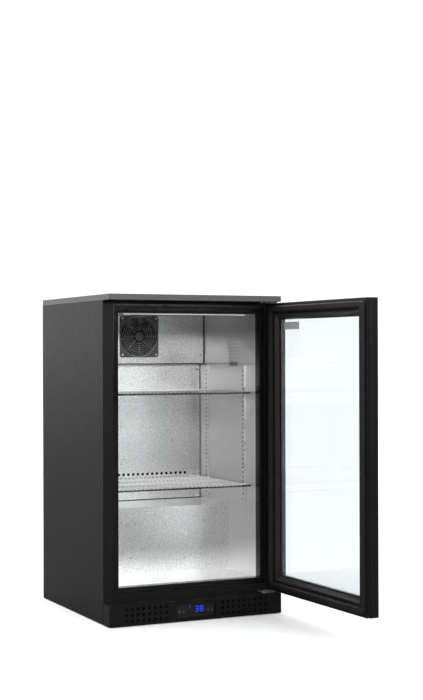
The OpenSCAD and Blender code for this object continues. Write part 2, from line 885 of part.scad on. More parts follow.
// Finned coil that gives off the heat, on two end plates. The tubes run down the front
// row, across, and up the back row.
module condenser() {
    bend_r = (condenser_z[1] - condenser_z[0]) / 2;
    cross_r = (condenser_rows[1] - condenser_rows[0]) / 2;
    half = condenser_half;
    color(alu) translate([condenser_x, 0, 0]) {
        for (i = [-9 : 9]) box([i * 8 - 0.4, 70, 28], [i * 8 + 0.4, 112, 178]);
        for (y = condenser_rows, z = condenser_z) rod_x(-half, half, y, z, tube_r);
        for (y = condenser_rows, i = [0, 2, 4])
            return_bend(half, y, condenser_z[i] + bend_r, bend_r, tube_r, 1);
        for (y = condenser_rows, i = [1, 3])
            return_bend(-half, y, condenser_z[i] + bend_r, bend_r, tube_r, -1);
        translate([-half, condenser_rows[0] + cross_r, condenser_z[0]]) rotate([0, 0, 90])
            rotate_extrude(angle = 180) translate([cross_r, 0]) circle(tube_r);
        both_sides() box([half - 2, 68, pan_h], [half, 114, 182]);
    }
}

module condenser_fan_housing() {
    half = condenser_fan_size / 2;
    y0 = condenser_fan_y;
    color("dimgray") {
        fan_housing(condenser_fan_size, condenser_x, y0, 38, condenser_fan_z);
        box([condenser_x - half, y0, pan_h], [condenser_x + half, y0 + 30, pan_h + 7]);
    }
}

module condenser_fan_rotor() {
    color(plastic_black)
        fan_rotor(condenser_fan_size, condenser_x, condenser_fan_y, 38, condenser_fan_z, 5);
}

module filter_drier() {
    color(copper) translate([drier[0], drier[1], 0]) {
        rod_z(70, 150, 0, 0, 9);
        translate([0, 0, 150]) cylinder(h = 12, r1 = 9, r2 = 3);
        translate([0, 0, 58]) cylinder(h = 12, r1 = 3, r2 = 9);
    }
}

// Discharge, liquid, capillary and suction lines.
module refrigerant_lines() {
    cx = compressor_x;
    cy = compressor_y;
    shell_top = 183;
    high = 215;
    coil_in = [condenser_x - condenser_half, condenser_rows[0], condenser_z[5]];
    coil_out = [condenser_x - condenser_half, condenser_rows[1], condenser_z[5]];
    color(copper) {
        bent_rod([[cx + 30, cy, shell_top], [cx + 30, cy, 203], [28, cy, 203], [28, coil_in[1], 203],
                  [28, coil_in[1], coil_in[2]], coil_in], 3, 8);
        bent_rod([coil_out, [28, coil_out[1], coil_out[2]], [28, coil_out[1], 45],
                  [28, drier[1], 45], [drier[0], drier[1], 45], [drier[0], drier[1], 58]], 3, 8);
        bent_rod([[drier[0], drier[1], 162], [drier[0], drier[1], 232],
                  [suction_x, coil_y[1], 232]], 1.5, 8);
        bent_rod([[cx - 30, cy, shell_top], [cx - 30, cy, high], [suction_x, cy, high],
                  [suction_x, coil_y[1], high], [suction_x, coil_y[1], coil_z[0]],
                  [-coil_x, coil_y[1], coil_z[0]]], tube_r, 8);
    }
}

// Cable gland in the service grille, with its through hole.
module mains_cable_gland() {
    y = grille_y + sheet_t;
    color(plastic_black) difference() {
        union() {
            rod_y(grille_y - 5, y, -215, 40, 6);
            translate([-215, y, 40]) rotate([-90, 0, 0]) cylinder(h = 5, r = 10, $fn = 6);
            rod_y(y + 5, y + 11, -215, 40, 7.5);
        }
        rod_y(grille_y - 6, y + 12, -215, 40, 3.6);
    }
}

// Round screw head with a cross slot, facing -Y (1) or +Y (-1).
module screw_head(x, y, z, facing) {
    translate([x, y, z]) rotate([facing > 0 ? 90 : -90, 0, 0]) difference() {
        cylinder(h = 1.6, r1 = 3.6, r2 = 2.6);
        for (a = [0, 90]) rotate([0, 0, a]) box([-2, -0.4, 0.8], [2, 0.4, 2]);
    }
}

// Screw in a hinge plate that is fixed at height z; up is 1 or -1.
module bracket_screw(x, z, up) {
    translate([x, bracket_screw_y, z]) mirror([0, 0, up > 0 ? 0 : 1]) {
        cylinder(h = bracket_t, r = 2.5);
        translate([0, 0, bracket_t]) cylinder(h = 0.8, r = 4);
    }
}

module panel_screws() {
    guard = fan_size / 2 - 7;
    color(zinc) {
        for (x = [-guard, guard], z = [fan_z - guard, fan_z + guard])
            screw_head(x, cover_y - 2.2, z, 1);
        both_sides() for (z = [cover_z + 25, ceiling_z - 20]) screw_head(197.5, cover_y, z, 1);
        both_sides() for (z = [30, 130, 235]) screw_head(236, grille_y + sheet_t, z, -1);
        for (x = bracket_screw_x) {
            bracket_screw(x, plinth_h, 1);
            bracket_screw(x, top_z, -1);
        }
    }
}

worktop_skin();
worktop_core();
left_side_panel();
right_side_panel();
back_panel();
rear_service_grille();
base_pan();
bay_partition();
front_rails();
plinth();
insulation_foam();
liner_left();
liner_right();
liner_back();
liner_ceiling();
liner_floor();
breaker_frame();
air_duct_panel();
evaporator_cover();
fan_guard();
evaporator_fan_housing();
evaporator_fan_rotor();
evaporator_fins();
evaporator_tubes();
drip_tray();
shelf_pilasters();
shelf_clips();
upper_shelf();
lower_shelf();
lamp_housing();
lamp_lens();
door_top_rail();
door_bottom_rail();
door_hinge_stile();
door_free_stile();
glazing_bead();
door_gasket();
outer_glass();
inner_glass();
glass_spacer();
hinge_bushes();
top_hinge_bracket();
bottom_hinge_bracket();
controller_bezel();
display_window();
key_set();
key_lamp();
key_up();
key_down();
compressor_shell();
compressor_mounts();
terminal_cover();
condenser();
condenser_fan_housing();
condenser_fan_rotor();
filter_drier();
refrigerant_lines();
mains_cable_gland();
levelling_feet();
panel_screws();
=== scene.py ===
import json
import math

import bpy
from mathutils import Matrix, Vector


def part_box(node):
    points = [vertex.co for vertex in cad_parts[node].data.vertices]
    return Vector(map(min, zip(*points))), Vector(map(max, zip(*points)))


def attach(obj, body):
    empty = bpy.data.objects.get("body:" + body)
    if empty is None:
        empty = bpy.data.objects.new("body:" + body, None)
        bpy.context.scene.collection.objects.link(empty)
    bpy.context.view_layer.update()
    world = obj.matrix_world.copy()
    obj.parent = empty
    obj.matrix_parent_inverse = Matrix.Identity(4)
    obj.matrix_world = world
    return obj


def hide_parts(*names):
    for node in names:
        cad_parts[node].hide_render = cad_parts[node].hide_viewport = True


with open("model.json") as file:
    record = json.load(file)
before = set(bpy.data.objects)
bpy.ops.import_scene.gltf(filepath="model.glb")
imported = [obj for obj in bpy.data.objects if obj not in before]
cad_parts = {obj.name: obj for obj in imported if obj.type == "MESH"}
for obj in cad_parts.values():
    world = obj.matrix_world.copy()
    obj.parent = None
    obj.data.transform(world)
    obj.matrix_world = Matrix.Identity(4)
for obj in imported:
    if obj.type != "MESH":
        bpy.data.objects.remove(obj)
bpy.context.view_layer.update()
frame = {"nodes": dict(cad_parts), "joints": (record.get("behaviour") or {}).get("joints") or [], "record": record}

NODES = frame["nodes"]
JOINTS = {j["name"]: j for j in frame["joints"]}
MM = 0.001


# ---------------------------------------------------------------- materials

class Shader:
    """A Principled material with short calls for the nodes that vary it over the surface.

    Patterns are laid out in the row frame, in metres, through Object coordinates."""

    def __init__(self, name, colour, roughness, **inputs):
        self.material = bpy.data.materials.new(name)
        self.material.use_nodes = True
        self.tree = self.material.node_tree
        self.bsdf = self.tree.nodes["Principled BSDF"]
        self.set("Base Color", (*colour, 1.0))
        self.set("Roughness", roughness)
        for key, value in inputs.items():
            self.set(key.replace("_", " "), value)
        self.coords = self.node("ShaderNodeTexCoord").outputs["Object"]
        self.height = None

    def set(self, socket, value):
        self.bsdf.inputs[socket].default_value = value

    def node(self, kind, **settings):
        made = self.tree.nodes.new(kind)
        for key, value in settings.items():
            setattr(made, key, value)
        return made

    def link(self, source, target):
        self.tree.links.new(source, target)

    def scaled(self, stretch):
        """Coordinates stretched by a factor along each axis."""
        mapping = self.node("ShaderNodeMapping")
        mapping.inputs["Scale"].default_value = stretch
        self.link(self.coords, mapping.inputs["Vector"])
        return mapping.outputs["Vector"]

    def noise(self, size, detail=3.0, rough=0.5, stretch=(1, 1, 1), distort=0.0):
        """Noise whose features are about size metres across."""
        made = self.node("ShaderNodeTexNoise")
        self.link(self.scaled(stretch), made.inputs["Vector"])
        made.inputs["Scale"].default_value = 1 / size
        made.inputs["Detail"].default_value = detail
        made.inputs["Roughness"].default_value = rough
        made.inputs["Distortion"].default_value = distort
        return made.outputs["Fac"]

    def cells(self, size, feature="SMOOTH_F1", stretch=(1, 1, 1), output="Distance"):
        """Voronoi cells about size metres across."""
        made = self.node("ShaderNodeTexVoronoi", feature=feature)
        self.link(self.scaled(stretch), made.inputs["Vector"])
        made.inputs["Scale"].default_value = 1 / size
        return made.outputs[output]

    def spread(self, source, low, high, from_low=0.3, from_high=0.7):
        """Maps a pattern to the range low to high."""
        made = self.node("ShaderNodeMapRange")
        made.inputs["From Min"].default_value = from_low
        made.inputs["From Max"].default_value = from_high
        made.inputs["To Min"].default_value = low
        made.inputs["To Max"].default_value = high
        self.link(source, made.inputs["Value"])
        return made.outputs["Result"]

    def blend_colours(self, factor, first, second):
        made = self.node("ShaderNodeMix", data_type="RGBA")
        made.inputs["A"].default_value = (*first, 1.0)
        made.inputs["B"].default_value = (*second, 1.0)
        self.link(factor, made.inputs["Factor"])
        return made.outputs["Result"]

    def vary_colour(self, source, first, second, from_low=0.3, from_high=0.7):
        factor = self.spread(source, 0.0, 1.0, from_low, from_high)
        self.link(self.blend_colours(factor, first, second), self.bsdf.inputs["Base Color"])
        return self

    def vary_roughness(self, source, low, high):
        self.link(self.spread(source, low, high), self.bsdf.inputs["Roughness"])
        return self

    def bump(self, source, depth, strength=1.0):
        """Adds relief of that depth in metres, on top of any relief already there."""
        made = self.node("ShaderNodeBump")
        made.inputs["Strength"].default_value = strength
        made.inputs["Distance"].default_value = depth
        self.link(source, made.inputs["Height"])
        if self.height is not None:
            self.link(self.height, made.inputs["Normal"])
        self.height = made.outputs["Normal"]
        self.link(self.height, self.bsdf.inputs["Normal"])
        return self


def powder_coat(name, dark, light, roughness, gloss=0.3):
    """Satin powder coat: fine orange peel, and a faint drift in colour and gloss."""
    s = Shader(name, dark, roughness, Specular_IOR_Level=gloss)
    s.vary_colour(s.noise(0.3, 1), dark, light)
    s.vary_roughness(s.noise(0.02, 3), roughness - 0.015, roughness + 0.02)
    s.bump(s.noise(0.0011, 2), 0.00006, 0.35)
    return s.material


def stucco_metal(name, relief, roughness, size, tone=1.0):
    """Embossed aluminium sheet: crushed, leathery dimples about size metres across.
    relief scales their depth, and tone darkens the sheet."""
    s = Shader(name, (0.80, 0.80, 0.80), roughness, Metallic=1.0)
    s.vary_colour(s.noise(0.7 * size, 2, 0.6), (0.62 * tone,) * 3, (0.96 * tone,) * 3, 0.36, 0.64)
    s.vary_roughness(s.noise(0.01, 3), roughness - 0.04, roughness + 0.06)
    s.bump(s.cells(size), 0.0016 * relief, 0.9)
    s.bump(s.noise(0.5 * size, 3, 0.6), 0.0007 * relief, 0.7)
    return s.material


def satin_metal(name, colour, roughness, ripple=0.00025):
    """Plain rolled sheet: satin, with a fine grain and the faint ripple of thin sheet."""
    s = Shader(name, colour, roughness, Metallic=1.0)
    darker = tuple(c * 0.93 for c in colour)
    s.vary_colour(s.noise(0.0024, 3), darker, colour)
    s.vary_roughness(s.noise(0.03, 2), roughness - 0.03, roughness + 0.04)
    s.bump(s.noise(0.0022, 2), 0.00006, 0.5)
    s.bump(s.noise(0.07, 1), ripple, 0.6)
    return s.material


def sheet_metal(name, colour, roughness, grain=(1, 1, 0.03)):
    """Drawn or brushed metal with a fine grain along one axis."""
    s = Shader(name, colour, roughness, Metallic=1.0)
    lighter = tuple(min(1.0, c * 1.12) for c in colour)
    darker = tuple(c * 0.86 for c in colour)
    s.vary_colour(s.noise(0.0016, 4, 0.6, grain), darker, lighter)
    s.vary_roughness(s.noise(0.02, 3), roughness - 0.06, roughness + 0.08)
    s.bump(s.noise(0.0012, 3, 0.6, grain), 0.00004, 0.4)
    return s.material


def galvanised(name):
    """Hot-dip zinc with soft spangles."""
    s = Shader(name, (0.55, 0.57, 0.59), 0.42, Metallic=1.0)
    spangle = s.cells(0.012, "F1", output="Color")
    s.vary_colour(spangle, (0.46, 0.48, 0.50), (0.66, 0.68, 0.70), 0.1, 0.9)
    s.vary_roughness(s.noise(0.012, 3), 0.34, 0.52)
    s.bump(s.noise(0.004, 3), 0.00008, 0.3)
    return s.material


def moulded_plastic(name, dark, light, roughness, grain=0.0008, depth=0.00005, **inputs):
    """Moulded plastic with a light grain and a little unevenness in gloss."""
    s = Shader(name, dark, roughness, **inputs)
    s.vary_colour(s.noise(0.03, 3), dark, light)
    s.vary_roughness(s.noise(0.012, 3), max(0.03, roughness - 0.05), roughness + 0.08)
    s.bump(s.noise(grain, 2), depth, 0.3)
    return s.material


def chrome_wire(name, tone):
    """Plated steel rod, with tone as its overall brightness."""
    s = Shader(name, (tone, tone, tone), 0.12, Metallic=1.0)
    s.vary_colour(s.noise(0.004, 2), (0.8 * tone,) * 3, (1.15 * tone,) * 3)
    s.vary_roughness(s.noise(0.006, 3), 0.08, 0.24)
    s.bump(s.noise(0.0015, 2), 0.00005, 0.3)
    return s.material


def clear_glass(name):
    """Float glass with the faintest waviness."""
    s = Shader(name, (0.963, 1.0, 1.0), 0.0, Transmission_Weight=1.0, IOR=1.25)
    s.vary_colour(s.noise(0.5, 1), (0.961, 0.999, 0.999), (0.965, 1.0, 1.0))
    s.bump(s.noise(0.3, 1), 0.00002, 0.1)
    return s.material


def foam_block(name):
    s = Shader(name, (0.82, 0.72, 0.45), 0.85)
    s.vary_colour(s.noise(0.01, 4), (0.72, 0.62, 0.36), (0.88, 0.79, 0.52))
    s.bump(s.cells(0.0015), 0.0004, 0.6)
    return s.material


def chipboard(name):
    """Near-black board, seen only from below; partly its own colour and partly painted shade for the underside of
    the worktop's overhang.
    """
    s = Shader(name, (0.02, 0.02, 0.02), 0.8)
    s.vary_colour(s.cells(0.004, "F1", (1, 0.4, 1), "Color"), (0.010, 0.010, 0.010),
                  (0.028, 0.027, 0.026), 0.1, 0.9)
    s.bump(s.noise(0.002, 4), 0.0003, 0.5)
    return s.material


def glowing(name, colour, strength, size=0.02):
    """Lit plastic, a little brighter in some places than others."""
    s = Shader(name, colour, 0.35, Emission_Color=(*colour, 1.0))
    s.link(s.spread(s.noise(size, 2), strength * 0.92, strength * 1.06),
           s.bsdf.inputs["Emission Strength"])
    s.bump(s.noise(0.002, 2), 0.00005, 0.2)
    return s.material


def paper_label(name):
    """Printed label: pale stock with plain grey rows where small print would be."""
    s = Shader(name, (0.78, 0.78, 0.77), 0.55)
    rows = s.node("ShaderNodeTexWave", wave_type="BANDS", bands_direction="Z")
    rows.inputs["Scale"].default_value = 32.0
    s.link(s.coords, rows.inputs["Vector"])
    dashes = s.noise(0.006, 1, 0.5, (1, 1, 0.2))
    both = s.node("ShaderNodeMath", operation="MULTIPLY")
    s.link(rows.outputs["Fac"], both.inputs[0])
    s.link(dashes, both.inputs[1])
    s.vary_colour(both.outputs["Value"], (0.88, 0.88, 0.87), (0.70, 0.70, 0.70), 0.30, 0.50)
    s.bump(s.noise(0.003, 2), 0.00003, 0.2)
    return s.material


MATERIALS = {
    "casing": powder_coat("casing_powder_coat", (0.006, 0.006, 0.0062),
                          (0.0075, 0.0075, 0.0077), 0.42, 0.16),
    "worktop": powder_coat("worktop_laminate", (0.085, 0.085, 0.086),
                           (0.097, 0.097, 0.098), 0.40, 0.4),
    "board": chipboard("black_board_core"),
    "galvanised": galvanised("galvanised_sheet"),
    "foam": foam_block("rigid_foam"),
    "stucco": stucco_metal("stucco_aluminium", 0.22, 0.31, 0.0046),
    # The evaporator cover takes the sheet darkened by tone 0.72: painted shade for the shadow cast by the top of
    # the opening.
    "fine_stucco": stucco_metal("fine_stucco_aluminium_shaded", 0.08, 0.33, 0.0042, 0.72),
    "satin": satin_metal("satin_aluminium", (0.84, 0.84, 0.84), 0.34),
    "channel": sheet_metal("pilaster_aluminium", (0.80, 0.80, 0.81), 0.30),
    "gloss_black": moulded_plastic("gloss_black_plastic", (0.0035, 0.0035, 0.0035),
                                   (0.005, 0.005, 0.005), 0.16, 0.002, 0.00003,
                                   Specular_IOR_Level=0.25),
    "matt_black": moulded_plastic("matt_black_plastic", (0.012, 0.012, 0.013),
                                  (0.018, 0.018, 0.019), 0.46, Specular_IOR_Level=0.3),
    "fan_black": moulded_plastic("fan_black_plastic", (0.002, 0.002, 0.002),
                                 (0.004, 0.004, 0.004), 0.7, Specular_IOR_Level=0.05),
    "guard": moulded_plastic("guard_plastic", (0.095, 0.095, 0.096),
                             (0.112, 0.112, 0.113), 0.42, Specular_IOR_Level=0.4),
    # The guard's rings and spokes take a lighter copy of its plastic: painted light, so that they stand out
    # against the shaded fan behind.
    "grille": moulded_plastic("guard_plastic_painted_lighter", (0.17, 0.17, 0.17), (0.20, 0.20, 0.20), 0.42,
                              Specular_IOR_Level=0.4),
    # The evaporator tubes take a darkened copy of the copper: painted shade, so that they sit dark behind the fan
    # guard.
    "coil": sheet_metal("coil_copper_painted_dark", (0.16, 0.09, 0.06), 0.4),
    "grey_plastic": moulded_plastic("grey_plastic", (0.20, 0.21, 0.22), (0.26, 0.27, 0.28), 0.5),
    "white_plastic": moulded_plastic("white_plastic", (0.74, 0.75, 0.76),
                                     (0.82, 0.83, 0.84), 0.4),
    "lens": glowing("lit_lens", (0.96, 0.98, 1.0), 0.35),
    "fins": sheet_metal("fin_aluminium", (0.74, 0.75, 0.76), 0.36),
    "copper": sheet_metal("drawn_copper", (0.78, 0.42, 0.26), 0.28),
    "wire": chrome_wire("plated_wire", 0.50),
    # The rim and cross rods are the same plated wire at tone 0.07: painted reflection of the dark surroundings
    # that the front rods show.
    "rim": chrome_wire("plated_rim_painted_dark", 0.07),
    "zinc": sheet_metal("zinc_plate", (0.66, 0.67, 0.69), 0.30, (1, 0.05, 1)),
    "door": powder_coat("door_frame_black", (0.005, 0.005, 0.0052),
                        (0.0065, 0.0065, 0.0067), 0.40, 0.15),
    "bead": moulded_plastic("bead_plastic", (0.012, 0.012, 0.0125), (0.018, 0.018, 0.0185), 0.34,
                            Specular_IOR_Level=0.3),
    "seal": moulded_plastic("seal_rubber", (0.007, 0.007, 0.0072), (0.011, 0.011, 0.0112), 0.5,
                            Specular_IOR_Level=0.25),
    "glass": clear_glass("clear_glass"),
    "spacer": sheet_metal("spacer_dark", (0.085, 0.085, 0.09), 0.45),
    "keys": moulded_plastic("key_plastic", (0.016, 0.016, 0.017), (0.024, 0.024, 0.025), 0.5),
    "window": moulded_plastic("smoked_window", (0.008, 0.008, 0.010), (0.012, 0.012, 0.014),
                              0.10, 0.003, 0.00002),
    "digits": glowing("lit_digits", (0.01, 0.04, 0.60), 1.3),
    "compressor": powder_coat("compressor_enamel", (0.008, 0.008, 0.008),
                              (0.014, 0.014, 0.014), 0.22),
    "rubber": moulded_plastic("mount_rubber", (0.012, 0.012, 0.012), (0.022, 0.022, 0.022), 0.7),
    "label": paper_label("paper_label"),
    "sticker": moulded_plastic("sticker_film", (0.42, 0.41, 0.40), (0.47, 0.46, 0.45), 0.4),
    "sealant": moulded_plastic("grey_sealant", (0.34, 0.34, 0.34), (0.42, 0.42, 0.42), 0.45),
}

# Which CAD nodes take each finish.
FINISH = {
    "worktop": ["worktop_skin"],
    "casing": ["left_side_panel", "right_side_panel", "front_rails", "plinth",
               "rear_service_grille"],
    "board": ["worktop_core"],
    "galvanised": ["back_panel", "base_pan", "bay_partition"],
    "foam": ["insulation_foam"],
    "stucco": ["liner_floor", "air_duct_panel"],
    "fine_stucco": ["evaporator_cover"],
    "satin": ["liner_left", "liner_right", "liner_back", "liner_ceiling"],
    "channel": ["shelf_pilasters"],
    "gloss_black": ["breaker_frame", "controller_bezel"],
    "fan_black": ["evaporator_fan_housing", "evaporator_fan_rotor"],
    "matt_black": ["fan_guard", "terminal_cover", "condenser_fan_housing",
                   "condenser_fan_rotor", "mains_cable_gland", "levelling_feet"],
    "grey_plastic": ["drip_tray"],
    "white_plastic": ["lamp_housing", "hinge_bushes"],
    "lens": ["lamp_lens"],
    "fins": ["evaporator_fins", "condenser"],
    "coil": ["evaporator_tubes"],
    "copper": ["filter_drier", "refrigerant_lines"],
    "wire": ["upper_shelf", "lower_shelf"],
    "zinc": ["shelf_clips", "top_hinge_bracket", "bottom_hinge_bracket", "panel_screws"],
    "door": ["door_top_rail", "door_bottom_rail", "door_hinge_stile", "door_free_stile"],
    "bead": ["glazing_bead"],
    "seal": ["door_gasket"],
    "glass": ["outer_glass", "inner_glass"],
    "spacer": ["glass_spacer"],
    "keys": ["key_set", "key_lamp", "key_up", "key_down"],
    "window": ["display_window"],
    "compressor": ["compressor_shell"],
    "rubber": ["compressor_mounts"],
}
SLOT_OF_NODE = {s["node"]: s["material_slot"] for s in frame["record"]["subparts"]}


def paint(obj, finish):
    obj.data.materials.clear()
    obj.data.materials.append(MATERIALS[finish])


for finish, names in FINISH.items():
    for node_name in names:
        paint(NODES[node_name], finish)

# Folded sheet and moulded nodes get a small round on each edge, so that edges catch light.
# The keys are bevel widths in millimetres.
SOFT_EDGES = {
    0.4: ["worktop_skin", "left_side_panel", "right_side_panel", "front_rails", "plinth",
          "controller_bezel", "lamp_housing", "top_hinge_bracket", "bottom_hinge_bracket"],
    0.25: ["evaporator_cover", "air_duct_panel", "shelf_pilasters", "shelf_clips",
           "rear_service_grille", "display_window", "drip_tray", "key_set", "key_lamp",
           "key_up", "key_down", "terminal_cover", "condenser_fan_housing"],
}
for width, names in SOFT_EDGES.items():
    for node_name in names:
        obj = NODES[node_name]
        weld = obj.modifiers.new("weld", "WELD")
        weld.merge_threshold = 0.01 * MM
        bevel = obj.modifiers.new("soft_edges", "BEVEL")
        bevel.width = width * MM
        bevel.segments = 2
        bevel.limit_method = "ANGLE"
        bevel.angle_limit = math.radians(40)
        bevel.harden_normals = False


# ---------------------------------------------------------------- mesh tools

def make_object(name, verts, faces, finish, body, replaced=(), smooth_angle=32):
    """A mesh piece that rides on a body. verts are in the row frame, in metres."""
    mesh = bpy.data.meshes.new(name)
    mesh.from_pydata([tuple(v) for v in verts], [], faces)
    mesh.validate()
    mesh.shade_smooth()
    mesh.set_sharp_from_angle(angle=math.radians(smooth_angle))
    mesh.update()
    obj = bpy.data.objects.new(name, mesh)
    bpy.context.scene.collection.objects.link(obj)
    paint(obj, finish)
    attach(obj, body)
    if replaced:
        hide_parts(*replaced)
    return obj


class Mesh:
    """Collects vertices and faces of one piece."""

    def __init__(self):
        self.verts = []
        self.faces = []

    def loft(self, rings, closed=False, caps=True):
        """Joins rings of points, each with the same count, into a skin."""
        start = len(self.verts)
        count = len(rings[0])
        for ring in rings:
            self.verts.extend(Vector(p) for p in ring)
        spans = len(rings) if closed else len(rings) - 1
        for i in range(spans):
            a = start + i * count
            b = start + ((i + 1) % len(rings)) * count
            for j in range(count):
                k = (j + 1) % count
                self.faces.append((a + j, a + k, b + k, b + j))
        if caps and not closed:
            last = start + (len(rings) - 1) * count
            self.faces.append(tuple(range(start + count - 1, start - 1, -1)))
            self.faces.append(tuple(range(last, last + count)))
        return self

    def tube(self, path, radius, sides=10, closed=False):
        """Round bar along a path, with its section carried along without twist."""
        points = [Vector(p) for p in path]
        count = len(points)
        rings = []
        side = None
        for i, point in enumerate(points):
            ahead = points[(i + 1) % count] if closed or i + 1 < count else point
            behind = points[i - 1] if closed or i > 0 else point
            along = (ahead - behind).normalized()
            if side is None:
                guide = Vector((0, 0, 1)) if abs(along.z) < 0.9 else Vector((1, 0, 0))
                side = along.cross(guide).normalized()
            side = (side - along * side.dot(along)).normalized()
            up = along.cross(side)
            rings.append([
                point + (side * math.cos(t) + up * math.sin(t)) * radius
                for t in (2 * math.pi * j / sides for j in range(sides))
            ])
        return self.loft(rings, closed=closed)

    def moved(self, matrix):
        self.verts = [matrix @ v for v in self.verts]
        return self

    def build(self, name, finish, body, slot, replaced=(), smooth_angle=32):
        return make_object(name, self.verts, self.faces, finish, body, replaced,
                           smooth_angle)


def filleted(points, radii, steps=4):
    """Rounds the corners of a closed outline. radii is one number, or one for each point."""
    count = len(points)
    if not hasattr(radii, "__len__"):
        radii = [radii] * count
    out = []
    for i, radius in enumerate(radii):
        p = Vector(points[i])
        to_last = Vector(points[i - 1]) - p
        to_next = Vector(points[(i + 1) % count]) - p
        angle = to_last.angle(to_next)
        if radius <= 0 or angle > math.radians(179):
            out.append(p)
            continue
        cut = min(radius / math.tan(angle / 2), 0.48 * to_last.length, 0.48 * to_next.length)
        a = p + to_last.normalized() * cut
        b = p + to_next.normalized() * cut
        for k in range(steps + 1):
            t = k / steps
            out.append(a.lerp(p, t).lerp(p.lerp(b, t), t))
    return out


def bent_path(points, radius, steps=5, closed=False):
    """A polyline whose corners are bent to that radius."""
    points = [Vector(p) for p in points]
    if closed:
        return filleted(points, radius, steps)
    middle = filleted(points, [0] + [radius] * (len(points) - 2) + [0], steps)
    return middle


def door_ring_rects(profile, lo, hi):
    """For each profile point (inset, depth), the rectangle it sweeps round the door."""
    return [((lo.x + u, hi.x - u, lo.z + u, hi.z - u), lo.y + v) for u, v in profile]


def swept_frame(rects, corner=0.0, corner_steps=6):
    """Rings of a frame swept round an opening. Each profile point has a rectangle
    (x0, x1, z0, z1) and a y; corner is the radius of the first rectangle's corners."""
    first = rects[0][0]
    rings = []
    for (x0, x1, z0, z1), y in rects:
        inset = x0 - first[0]
        r = max(corner - inset, 0.0005) if corner else 0.0
        ring = []
        for cx, cz, turn in ((x1, z0, -90), (x1, z1, 0), (x0, z1, 90), (x0, z0, 180)):
            if not r:
                ring.append((cx, y, cz))
                continue
            mx = cx - r if cx == x1 else cx + r
            mz = cz - r if cz == z1 else cz + r
            for k in range(corner_steps + 1):
                t = math.radians(turn + 90 * k / corner_steps)
                ring.append((mx + r * math.cos(t), y, mz + r * math.sin(t)))
        rings.append(ring)
    return rings


def slab(name, lo, hi, edge, finish, body, slot, matrix=None, replaced=()):
    """A flat block with rounded edges on all sides."""
    lo, hi = Vector(lo), Vector(hi)
    outline = filleted([(lo.x, lo.z), (hi.x, lo.z), (hi.x, hi.z), (lo.x, hi.z)], edge * 3, 5)
    centre = (lo + hi) / 2
    rings = []
    for inset, y in ((edge, lo.y), (0, lo.y + edge), (0, hi.y - edge), (edge, hi.y)):
        ring = []
        for p in outline:
            x = centre.x + (p.x - centre.x) * (1 - 2 * inset / (hi.x - lo.x))
            z = centre.z + (p.y - centre.z) * (1 - 2 * inset / (hi.z - lo.z))
            ring.append((x, y, z))
        rings.append(ring)
    mesh = Mesh().loft(rings)
    if matrix is not None:
        mesh.moved(matrix)
    return mesh.build(name, finish, body, slot, replaced)


# ---------------------------------------------------------------- the door

hinge = JOINTS["door_hinge"]
PIVOT = Vector(hinge["pos_m"])
OPEN = math.radians(-hinge["range_deg"][0])
TO_OPEN = (Matrix.Translation(PIVOT) @ Matrix.Rotation(OPEN, 4, "Z")
           @ Matrix.Translation(-PIVOT))
TO_SHUT = TO_OPEN.inverted()


def shut_box(*names):
    """Lowest and highest corners of door nodes, turned back to where the door is shut."""
    corners = [TO_SHUT @ v.co for n in names for v in NODES[n].data.vertices]
    lo = Vector(min(c[i] for c in corners) for i in range(3))
    hi = Vector(max(c[i] for c in corners) for i in range(3))
    return lo, hi


RAILS = ["door_bottom_rail", "door_hinge_stile", "door_top_rail", "door_free_stile"]
door_lo, door_hi = shut_box(*RAILS)
# How far in from the door's edge the glass starts to show.
GLASS_LINE = door_hi.z - shut_box("door_top_rail")[0].z
# Body of a door bar, in millimetres: across the frame, and through the door.
BAR_WIDE = 30
BAR_DEEP = 32


def door_bar_section():
    """Section of a door bar: (inset from the edge, depth from the front), in metres. It has
    a lip over the glass, a finger groove in the edge, and two fine lines along the edge."""
    lip = GLASS_LINE / MM
    wide, deep = BAR_WIDE, BAR_DEEP
    points = [
        (0, 0), (lip, 0), (lip, 3), (wide, 3), (wide, deep), (0, deep), (0, 30.5), (2.2, 30.5),
        (2.2, 24.5), (0, 24.5), (0, 10.4), (0.5, 10), (0, 9.6), (0, 3.0), (0.4, 2.6), (0, 2.2)
    ]
    radii = [1.6, 0.5, 0.3, 0.3, 0.5, 0.8, 0.3, 0.3, 0.3, 0.3, 0, 0, 0, 0, 0, 0]
    return filleted([(u * MM, v * MM) for u, v in points], [r * MM for r in radii], 3)


def door_bars():
    section = [(p.x, p.y) for p in door_bar_section()]
    lo, hi = door_lo, door_hi
    ends = {
        "door_bottom_rail": lambda u: ((lo.x + u, lo.z + u), (hi.x - u, lo.z + u)),
        "door_hinge_stile": lambda u: ((hi.x - u, lo.z + u), (hi.x - u, hi.z - u)),
        "door_top_rail": lambda u: ((hi.x - u, hi.z - u), (lo.x + u, hi.z - u)),
        "door_free_stile": lambda u: ((lo.x + u, hi.z - u), (lo.x + u, lo.z + u)),
    }
    joint_line = 0.06 * MM
    for name, place in ends.items():
        rings = [[], []]
        for u, v in section:
            a, b = place(u)
            along = Vector((b[0] - a[0], b[1] - a[1])).normalized() * joint_line
            rings[0].append((a[0] + along.x, lo.y + v, a[1] + along.y))
            rings[1].append((b[0] - along.x, lo.y + v, b[1] - along.y))
        mesh = Mesh().loft(rings).moved(TO_OPEN)
        mesh.build(name + "_profile", "door", "door", SLOT_OF_NODE[name], [name])


door_bars()


